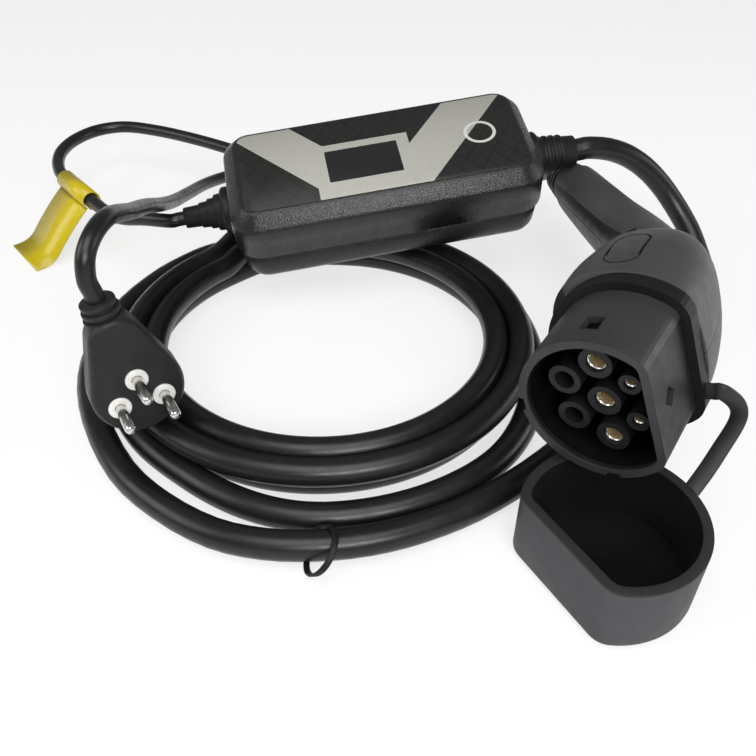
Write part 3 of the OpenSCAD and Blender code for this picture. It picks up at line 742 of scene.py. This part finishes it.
# %% Film and window
FILM_MARGIN, FILM_CORNER, FILM_SUNK = 18, 7, 0.4
WINDOW = Vector((-9.7, -6.4, 0))
WINDOW_LENGTH, WINDOW_WIDTH, WINDOW_CORNER, WINDOW_SUNK = 40.5, 24.5, 0.8, 3.5

bm = bmesh.new()
film = rounded_face(bm, BOX_LENGTH - FILM_MARGIN, BOX_WIDTH - FILM_MARGIN, FILM_CORNER,
                    BOX_HEIGHT - FILM_SUNK)
raise_face(bm, film, 0.01, 0.45)
raise_face(bm, film, 0.15, 0.15)
close_holes(bm)
finish_piece("panel_film", bm, box_place, "panel_film", "front_panel", sharp=60)

bm = bmesh.new()
glass = rounded_face(bm, WINDOW_LENGTH, WINDOW_WIDTH, WINDOW_CORNER, BOX_HEIGHT - WINDOW_SUNK)
raise_face(bm, glass, 0.01, 3.75)
raise_face(bm, glass, 0.25, 0.12)
close_holes(bm)
finish_piece("display_glass", bm, box_place @ Matrix.Translation(WINDOW), "window_plastic",
             "display_window", sharp=60)

# %% [markdown]
# ## Strain reliefs
# A rubber relief clips into each end of the box, with steps or ribs that let the cable bend
# gently. A stack of cylinders could show the steps, but it leaves faces inside. Each relief is
# round, so one outline is spun like work on a lathe.

# %% Strain reliefs of the box
gland_neck = [(0, -7.2), (10.5, -7.2), (10.5, -4.7), (8, -4.7), (8, 0.1)]
mains_profile = gland_neck + [
    (13.5, 0.1), (13.5, 3.5), (12, 5), (10.5, 5), (10, 9), (8.6, 9), (8.4, 13), (7.4, 13), (7, 18),
    (6.2, 18), (5.8, GLAND), (0, GLAND),
]
ev_profile = gland_neck + [
    (14.5, 0.1), (14.5, 3.5), (13, 5), (11.4, 5), (11.4, 7), (10.2, 7), (10.2, 9), (11.1, 9),
    (11.1, 11), (9.9, 11), (9.9, 13), (10.8, 13), (10.8, 15), (9.6, 15), (9.6, 17), (10.4, 17),
    (10.4, 19), (9.3, 19), (8.6, GLAND), (0, GLAND),
]
RELIEF_EDGE = 0.5
finish_piece("mains_relief", lathe(mains_profile, RELIEF_EDGE),
             box_place @ along((-BOX_END, 0, GLAND_AXIS), (-1, 0, 0)),
             "black_rubber", "mains_gland")
finish_piece("cable_relief", lathe(ev_profile, RELIEF_EDGE),
             box_place @ along((BOX_END, 0, GLAND_AXIS), (1, 0, 0)),
             "black_rubber", "ev_gland")

# %% [markdown]
# ## Connector housing
# The housing is short and full behind the nose, ends in a square edge, and a slimmer handle bends
# away from it. A subdivided cage would lose that edge. So it is a skin over squarish rings, one for
# each measured place, and the rings step down where the handle starts. The skin is cut along the
# parting plane into its two halves, so the joint line shows as a fine groove.

# %% Rings of the housing
NOSE_BACK = 34
SQUARE = 2.5
RING_POINTS = 56
ROW_STEPS = 4
# Each row: way behind the nose, x, turn, half width, height above and below, and lift.
body = [
    (0, -4, 0, 31, 35.5, 35.5, 0), (14, -4.5, 0, 30.5, 36, 36, 0), (30, -5.5, 5, 28, 34, 34, 0),
    (42, -7.5, 9, 26, 31, 31, 0), (48, -9.2, 12, 24.5, 28.2, 28.2, 0),
]
back_edge = [50.5, -10, 13, 21.5, 24, 24, -0.5]
handle = [
    (51, -10.2, 14, 21, 21, 22, -2), (62, -15, 22, 19.5, 19, 20.5, -3.5),
    (77, -23.5, 32, 17.5, 17, 20, -4.5), (97, -38, 41, 15.5, 15, 19.5, -4.5),
    (119, -58, 43, 14.5, 13.8, 18.5, -4), (143, -80, 43, 14, 13.2, 16, -2.5),
    (158, -94, 43, 13.5, 13, 13.5, -1), (161.5, -97.5, 43, 12.8, 12.8, 12.8, 0),
]


def bulge(c):
    return math.copysign(abs(c) ** (2 / SQUARE), c)


def housing_point(row, angle, proud=0):
    s, x, turn, half_x, high, low, lift = row
    turn = math.radians(turn)
    out = (half_x + proud) * bulge(math.cos(angle))
    half_z = high if angle < math.pi else low
    return (x + out * math.cos(turn), NOSE_BACK + s + out * math.sin(turn),
            lift + (half_z + proud) * bulge(math.sin(angle)))


def housing_ring(row):
    return [housing_point(row, math.tau * (k + 0.5) / RING_POINTS) for k in range(RING_POINTS)]


def between_rows(rows):
    made = []
    for fours in zip([rows[0], *rows], rows, rows[1:], [*rows[2:], rows[-1]]):
        for k in range(ROW_STEPS):
            made.append([blend(*four, k / ROW_STEPS) for four in zip(*fours)])
    return made + [list(rows[-1])]


body_rows = between_rows(body) + [back_edge]
handle_rows = between_rows(handle)
housing_rings = [housing_ring(row) for row in body_rows + handle_rows]
print("rings of the housing:", len(housing_rings))

# %% Halves of the housing
PARTING = 0.16


def half_housing(name, node, side):
    bm = skinned(housing_rings)
    soften(bm, sharp_edges(bm, 30), 0.9, 3)
    bmesh.ops.bisect_plane(bm, geom=bm.verts[:] + bm.edges[:] + bm.faces[:],
                           plane_co=(0, 0, side * PARTING), plane_no=(0, 0, side),
                           clear_inner=True)
    close_holes(bm)
    finish_piece(name, bm, gun_place, "gun_plastic", node, sharp=38)


half_housing("housing_upper", "shell_upper", 1)
half_housing("housing_lower", "shell_lower", -1)

# %% [markdown]
# ## Cover and strip
# An oblong cover lies flush in the housing with a dark groove round it, and a raised strip runs
# along the handle. A flat plate would cut through the curved skin. So the cover is a face with
# many points, each lowered on to the skin by a ray, and the strip is skinned over parts of the
# handle's own rings.

# %% Oblong cover in the side of the housing
COVER = Matrix.Translation((-5, NOSE_BACK + 20, 0)) @ Matrix.Rotation(math.radians(6), 4, "Z")
COVER_WIDTH, COVER_LENGTH, COVER_CORNER, COVER_BOTTOM = 14.5, 28, 6.3, 31.5
GROOVE, GROOVE_PROUD, COVER_PROUD = 0.5, 0.1, 0.16
ABOVE_ALL = 80

bm = skinned(housing_rings)
skin = BVHTree.FromBMesh(bm)
bm.free()


def housing_height(spot):
    return skin.ray_cast((spot.x, spot.y, ABOVE_ALL), (0, 0, -1))[0].z


bm = bmesh.new()
rounded_face(bm, COVER_WIDTH, COVER_LENGTH, COVER_CORNER, 0)
bmesh.ops.subdivide_edges(bm, edges=[e for e in bm.edges if e.calc_length() > 10], cuts=12)
face = bm.faces[:][0]
bmesh.ops.inset_region(bm, faces=[face], thickness=GROOVE, use_boundary=True, use_even_offset=True)
for inset in (1.5, 2, 2):
    bmesh.ops.inset_region(bm, faces=[face], thickness=inset, use_even_offset=True)
outer = {v for e in open_edges(bm) for v in e.verts}
bmesh.ops.transform(bm, matrix=COVER, verts=bm.verts)
for v in bm.verts:
    v.co.z = housing_height(v.co) + (GROOVE_PROUD if v in outer else COVER_PROUD)
groove = [f.index for f in bm.faces if any(v in outer for v in f.verts)]
skirt = bmesh.ops.extrude_edge_only(bm, edges=open_edges(bm))
for v in verts_of(skirt["geom"]):
    v.co.z = COVER_BOTTOM
close_holes(bm)
bm.faces.ensure_lookup_table()
for face in bm.faces:
    face.material_index = int(face.index in groove)
cover = finish_piece("oblong_cover", bm, gun_place, "gun_plastic", "side_cover")
cover.data.materials.append(liner_black)

# %% Strip along the handle
STRIP_PROUD, STRIP_SUNK = 0.7, -0.8
STRIP_ROWS = slice(9, 22)
strip_angles = [math.radians(a) for a in range(94, 139, 4)]


def strip_ring(row):
    return ([housing_point(row, a, STRIP_PROUD) for a in strip_angles]
            + [housing_point(row, a, STRIP_SUNK) for a in reversed(strip_angles)])


strip = skinned([strip_ring(row) for row in handle_rows[STRIP_ROWS]])
strip.verts.index_update()
for face in strip.faces:
    on_top = {v.index % (2 * len(strip_angles)) < len(strip_angles) for v in face.verts}
    face.material_index = int(len(on_top) == 2)
handle_strip = finish_piece("handle_strip", strip, gun_place, "gun_plastic", "grip_strip", sharp=40)
handle_strip.data.materials.append(liner_black)

# %% [markdown]
# ## Boot of the connector
# A ribbed rubber boot at the end of the handle keeps the cable from bending sharply. Its ribs could
# be an array of rings, but they get smaller towards the cable. So the whole outline is written down
# once and turned, like the reliefs of the box.

# %% Boot of the connector
boot_profile = [
    (0, 0), (12.5, 0), (12.5, 5), (11, 6), (11, 8), (12, 8), (12, 11), (10.6, 11), (10.6, 13),
    (11.5, 13), (11.5, 16), (10.1, 16), (10.1, 18), (11, 18), (11, 21), (9.6, 21), (9.6, 23),
    (10.4, 23), (10.4, 26), (9.2, 26), (8.4, BOOT), (0, BOOT),
]
finish_piece("handle_boot", lathe(boot_profile, RELIEF_EDGE),
             gun_place @ along(HANDLE_TIP, boot_way), "black_rubber", "cable_boot")

# %% [markdown]
# ## Sockets
# Each contact is a thin tube, silver at its lip and gold inside. The gold could be a second tube,
# but it is only plating. So both colours are in one turned piece, and the faces of the bore get
# the second material. A black liner closes the sleeve behind its windows, so no light comes
# through it.

# %% Contacts
SOCKET_FRONT, SOCKET_BACK, SOCKET_LIP = 1.5, 22.9, 0.35


def sockets(name, node, spots, bore, tube, reach):
    floor = SOCKET_FRONT + reach
    profile = [
        (0, floor), (bore, floor), (bore, SOCKET_FRONT + SOCKET_LIP),
        (bore + SOCKET_LIP, SOCKET_FRONT), (tube - 0.2, SOCKET_FRONT), (tube, SOCKET_FRONT + 0.3),
        (tube, SOCKET_BACK), (0, SOCKET_BACK),
    ]
    bm = bmesh.new()
    for x, z in spots:
        add_copy(bm, lathe(profile, 0.05, 36), along((x, 0, z), (0, 1, 0)))
    piece = finish_piece(name, bm, gun_place, "contact_metal", node)
    piece.data.materials.append(gold)
    inverse = gun_place.inverted()
    for face in piece.data.polygons:
        middle = inverse @ face.center
        near = min(math.hypot(middle.x - x, middle.z - z) for x, z in spots)
        if near < bore + 0.1 and middle.y < floor + 0.5:
            face.material_index = 1


sockets("power_sockets", "power_contacts", [(0, 17), (0, 0), (0, -17)], 3.05, 3.95, 20)
sockets("signal_sockets", "signal_contacts", [(11.4, 8.5), (11.4, -8.5)], 1.55, 2.25, 16)

# %% Black liner of the nose
LINER_WIDTH, LINER_DEPTH, LINER_CORNER = 56.4, 47.4, 4.8
LINER_FRONT, LINER_LENGTH, LINER_WALL = -4, 26.8, 0.4
upright = Matrix(((1, 0, 0, 0), (0, 0, 1, 0), (0, 1, 0, 0), (0, 0, 0, 1)))
bm = bmesh.new()
end = d_face(bm, LINER_WIDTH, LINER_DEPTH, LINER_CORNER, LINER_FRONT)
raise_face(bm, end, 0.01, LINER_LENGTH)
bmesh.ops.delete(bm, geom=[end], context="FACES_ONLY")
bmesh.ops.solidify(bm, geom=bm.faces[:], thickness=LINER_WALL)
finish_piece("nose_liner", bm, gun_place @ upright, "nose_plastic", finish=liner_black)

# %% [markdown]
# ## Dust cap and strap
# The cap is a D-shaped cup of soft rubber. A cup could be hollowed with a second solid, but one
# face is enough: its outline is a circle cut flat on one side with both corners rounded, raised to
# the rim, inset by the wall and sunk to the floor. A flat strap ties it to the connector. It turns
# from edge to flat on its way, so it is skinned over rings that turn with it.

# %% Dust cap
CAP_WIDTH, CAP_DEPTH, CAP_HEIGHT, CAP_WALL = 72, 61.5, 34, 4
CAP_CORNER, CAP_FOOT, CAP_LIP = 10, 4.5, 0.9
bm = bmesh.new()
inside = d_face(bm, CAP_WIDTH, CAP_DEPTH, CAP_CORNER, 0)
raise_face(bm, inside, 0.05, CAP_HEIGHT)
raise_face(bm, inside, CAP_WALL, 0)
raise_face(bm, inside, 0.3, CAP_WALL - CAP_HEIGHT)
close_holes(bm)
soften(bm, edges_at(bm, 0), CAP_FOOT, 5)
soften(bm, edges_at(bm, CAP_HEIGHT), CAP_LIP, 3)
finish_piece("rubber_cap", bm, cap_place, "cap_rubber", "dust_cap", sharp=50)

# %% Bands along a line


def ribbon_rings(line, outline, first, last):
    """Outlines across a line, with their width turning from one way to another."""
    rings = []
    for k, spot in enumerate(line):
        way = (line[min(k + 1, len(line) - 1)] - line[max(k - 1, 0)]).normalized()
        side = Vector(first).lerp(Vector(last), k / (len(line) - 1))
        side = (side - way * side.dot(way)).normalized()
        other = way.cross(side)
        rings.append([spot + a * MM * side + b * MM * other for a, b in outline])
    return rings


def band_outline(width, thick, r):
    w, t = width / 2, thick / 2
    half = [(w, t - r), (w - r, t), (r - w, t), (-w, t - r)]
    return half + [(-a, -b) for a, b in half]


# %% Strap
STRAP_WIDTH, STRAP_THICK, STRAP_EDGE = 6.5, 2, 0.5
STRAP_FIRST, STRAP_LAST = (0, 0.2, 1), (0.95, -0.1, -0.1)
COLLAR_FACE = 26
strap_turn = Matrix.Rotation(math.radians(172), 4, "Z")
strap_route = (
    in_row(gun_place, [(COLLAR_FACE + d, NOSE_BACK - 4, -15) for d in (0.1, 3, 6)])
    + in_row(layout, [(147, -53, 63.4), (149.5, -51, 57.5), (149.8, -53.5, 52.5),
                      (148.4, -60.5, 46), (146.8, -68, 39.2)])
    + in_row(cap_place @ strap_turn, [(CAP_WIDTH / 2 + 0.1, 0, CAP_HEIGHT - 1.5)])
)
strap_outline = band_outline(STRAP_WIDTH, STRAP_THICK, STRAP_EDGE)
strap = skinned(ribbon_rings(smooth_line(strap_route, 6), strap_outline, STRAP_FIRST, STRAP_LAST))
finish_piece("rubber_strap", strap, Matrix(), "black_rubber", "cap_strap", sharp=60,
             finish=strap_grey)

# %% [markdown]
# ## Mains plug
# The plug is a flat teardrop whose edges are rounded on both faces, with a ribbed boot where the
# cord comes in. A bevel would round both faces alike, but the back is rounder than the front. So
# the teardrop is a skin over outlines that shrink towards each face by their own steps.

# %% Plug body
PLUG_RADIUS, NECK, NECK_RADIUS = 20, 25, 11.5
WIDE_STEPS, NECK_STEPS = 32, 18


def teardrop(x, inset):
    lean = math.asin((PLUG_RADIUS - NECK_RADIUS) / NECK)
    wide, thin = PLUG_RADIUS - inset, NECK_RADIUS - inset
    ring = []
    for k in range(WIDE_STEPS + 1):
        a = math.pi - lean + (math.pi + 2 * lean) * k / WIDE_STEPS
        ring.append((x, wide * math.cos(a), wide * math.sin(a)))
    for k in range(NECK_STEPS + 1):
        a = lean + (math.pi - 2 * lean) * k / NECK_STEPS
        ring.append((x, thin * math.cos(a), NECK + thin * math.sin(a)))
    return ring


plug_steps = [
    (-18, 4.5), (-17.5, 3.1), (-16.4, 1.8), (-15, 0.8), (-13, 0.1), (-12, 0), (-4, 0), (-3, 0),
    (-1.6, 0.35), (-0.6, 0.9), (0, 1.7),
]
boot_ribs = [(8.5, 7), (6.6, 7), (6.6, 5.5), (8, 5.5), (8, 3.5), (6.2, 3.5), (6.2, 2), (7.4, 2)]
boot_outline = (
    [(0, NECK), (8.5, NECK)] + [(r, PLUG_TOP - below) for r, below in boot_ribs]
    + [(7.4, PLUG_TOP), (0, PLUG_TOP)]
)
bm = skinned([teardrop(x, inset) for x, inset in plug_steps])
add_copy(bm, lathe(boot_outline, 0.4), Matrix.Translation((-PLUG_DEPTH / 2, 0, 0)))
plug_body = finish_piece("plug_moulding", bm, plug_upright, "plug_plastic", "plug_body")

# %% [markdown]
# ## Pins and their collars
# Three round pins stand in white collars. Each could be an object of its own, but the part counts
# the pins as one piece and the collars as another. So every one is turned, and the copies are
# joined into two meshes.

# %% Pins and their collars
PIN, PIN_LENGTH, PIN_ROOT = 2.25, 19, -6
COLLAR_BORE, COLLAR_RIM, COLLAR_TALL = PIN + 0.1, 4.9, 1.2
pin_profile = [
    (0, PIN_ROOT), (PIN, PIN_ROOT), (PIN, PIN_LENGTH - 1.6), (PIN - 0.5, PIN_LENGTH - 0.4),
    (PIN - 1.2, PIN_LENGTH), (0, PIN_LENGTH),
]
collar_profile = [
    (COLLAR_BORE, 0), (COLLAR_RIM, 0), (COLLAR_RIM, 0.9), (4.5, COLLAR_TALL),
    (COLLAR_BORE, COLLAR_TALL), (COLLAR_BORE, 0),
]
pins = bmesh.new()
collars = bmesh.new()
for y, z in [(-9.5, -4), (9.5, -4), (0, 7)]:
    pin_axis = along((0, y, z), (1, 0, 0))
    add_copy(pins, lathe(pin_profile, 0.15, 32), pin_axis)
    add_copy(collars, lathe(collar_profile, 0.1, 32), pin_axis)
plug_pins = finish_piece("pins", pins, plug_place, "pin_nickel", "plug_pins")
pin_collars = finish_piece("collars", collars, plug_place, "white_plastic", "pin_collars")

# %% [markdown]
# ## Tag and tie
# The tag is a strip of yellow film that goes round the thin cord and hangs down to the floor. A
# plane could be bent with a modifier, but the path is known. So one edge is extruded along it, and
# a Solidify modifier makes it a film. The tie is a thin band that hangs loosely round the thick
# cable at a slant, so it is skinned like the strap.

# %% Tag on the thin cord
TAG_HALF, TAG_RING, TAG_THICK = 19.5, 5.45, 0.8
tag_place = place((-255, -39, 34), ("Z", -16.7))
tag_curve = smooth_line([(0, -44, -33), (0, -37, -32.6), (0, -30.6, -29.8), (0, -23.6, -22.4),
                         (0, -13.6, -12.3), (0, -4, -3.9)], 4)
tag_angles = [math.radians(a) for a in range(-135, -485, -14)]
tag_path = tag_curve + [Vector((0, TAG_RING * math.cos(a), TAG_RING * math.sin(a)))
                        for a in tag_angles]
bm = bmesh.new()
edge = bm.edges.new([bm.verts.new(tag_path[0] + Vector((side, 0, 0)))
                     for side in (-TAG_HALF, TAG_HALF)])
for here, there in zip(tag_path, tag_path[1:]):
    grown = bmesh.ops.extrude_edge_only(bm, edges=[edge])["geom"]
    new_verts = verts_of(grown)
    bmesh.ops.translate(bm, vec=there - here, verts=new_verts)
    edge = next(g for g in grown if isinstance(g, bmesh.types.BMEdge)
                and set(g.verts) == set(new_verts))
tag = finish_piece("flag_tag", bm, tag_place, "tag_film", "cord_tag", sharp=60)
film = tag.modifiers.new("film", "SOLIDIFY")
film.thickness = TAG_THICK * MM
film.offset = 0

# %% Tie on the thick cable
TIE_SLANT, TIE_SPREAD, TIE_REACH, TIE_TALL = 7, 0.01, 10.6, 8
TIE_FORWARD, TIE_UP = -2.6, 0.2
TIE_WIDTH, TIE_THICK, TIE_EDGE = 2.6, 1.2, 0.3
tie_frame = (layout @ Matrix.Translation((26, -164, 8.5))
             @ Matrix.Rotation(math.radians(36.3), 4, "Z"))
tie_loop = []
for angle in range(-80, 296, 8):
    c, s = math.cos(math.radians(angle)), math.sin(math.radians(angle))
    tie_loop.append((TIE_SLANT * s + TIE_SPREAD * angle, TIE_REACH * c + TIE_FORWARD,
                     TIE_TALL * s + TIE_UP))
along_cable = tie_frame.to_3x3() @ Vector((1, 0, 0))
tie_band = skinned(ribbon_rings(in_row(tie_frame, tie_loop),
                                band_outline(TIE_WIDTH, TIE_THICK, TIE_EDGE),
                                along_cable, along_cable))
tie = finish_piece("cable_tie", tie_band, Matrix(), "black_rubber", "tie_band", sharp=60)

# %% [markdown]
# ## What the cords are
# Parts of both lie hidden under the coil and behind the box, and their way there is guessed. So the
# length is measured along the whole line as it is laid here.

cord_nodes = ((ev_cable, ("ev_lead_box", "ev_coil", "ev_lead_gun")), (mains_cord, ("mains_cord",)))
for piece, nodes in cord_nodes:
    piece.data.materials.append(finishes["cable_rubber"])
    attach(piece, "root")
    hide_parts(*nodes)
line_length(ev_line)
line_length(mains_line)
print("cords:", len(cord_nodes))

# %% [markdown]
# ## Floor and light
# The object lies on white paper under large soft lamps. Stronger lamps could whiten the paper, but
# they would bleach the object too. So the paper and the world glow only for the camera, and the
# paper for reflections as well, while it still takes the soft shadow. Four lamps light the object:
# one from above, one from each side in front, and a weak one behind for the right edge.

# %% Floor


def seen_by(graph, *rays):
    outputs = graph.node("ShaderNodeLightPath").socket.node.outputs
    first, *others = [Wire(graph.tree, outputs[name]) for name in rays]
    for other in others:
        first = first.most(other)
    return first


PAPER_GLOW = 0.72
bm = bmesh.new()
bmesh.ops.create_grid(bm, x_segments=1, y_segments=1, size=6)
floor_mesh = bpy.data.meshes.new("floor")
bm.to_mesh(floor_mesh)
bm.free()
floor = bpy.data.objects.new("floor", floor_mesh)
scene.collection.objects.link(floor)
material, graph, _ = start_finish("white_paper")
seen = seen_by(graph, "Is Camera Ray", "Is Glossy Ray", "Is Transmission Ray")
paper = graph.node("ShaderNodeBsdfDiffuse", {}, {"Color": rgb(0.9, 0.9, 0.9)})
glow = graph.node("ShaderNodeEmission", {}, {"Color": rgb(1, 1, 1), "Strength": 1.0})
mixed = graph.node("ShaderNodeMixShader", {}, {0: seen * PAPER_GLOW, 1: paper, 2: glow})
graph.node("ShaderNodeOutputMaterial", {}, {"Surface": mixed})
floor_mesh.materials.append(material)
print("floor glow:", PAPER_GLOW)

# %% World
SKY = 0.2
world = bpy.data.worlds.new("studio")
scene.world = world
world.use_nodes = True
world.node_tree.nodes.clear()
graph = Wire(world.node_tree)
sky = graph.node("ShaderNodeBackground", {}, {"Color": rgb(1, 1, 1), "Strength": SKY})
white = graph.node("ShaderNodeBackground", {}, {"Color": rgb(1, 1, 1), "Strength": 1.0})
both = graph.node("ShaderNodeMixShader", {}, {0: seen_by(graph, "Is Camera Ray"), 1: sky, 2: white})
graph.node("ShaderNodeOutputWorld", {}, {"Surface": both})
print("sky strength:", SKY)

# %% Lamps


def softbox(name, spot, target, size, power):
    data = bpy.data.lights.new(name, "AREA")
    data.shape = "RECTANGLE"
    data.size, data.size_y = size
    data.energy = power
    lamp = bpy.data.objects.new(name, data)
    lamp.location = spot
    lamp.rotation_euler = (Vector(target) - Vector(spot)).to_track_quat("-Z", "Y").to_euler()
    scene.collection.objects.link(lamp)
    print(name, power, "W")


softbox("overhead", (0.25, -0.45, 1.2), (0, 0, 0), (1.0, 0.8), 9)
softbox("front_left", (-0.9, -0.9, 0.8), (0, 0, 0.03), (0.8, 0.8), 6)
softbox("front_right", (0.72, -0.76, 0.69), (-0.05, 0, 0.067), (0.6, 0.25), 8)
softbox("back_right", (0.85, 0.7, 0.3), (0.1, -0.05, 0.08), (0.6, 0.4), 2.2)
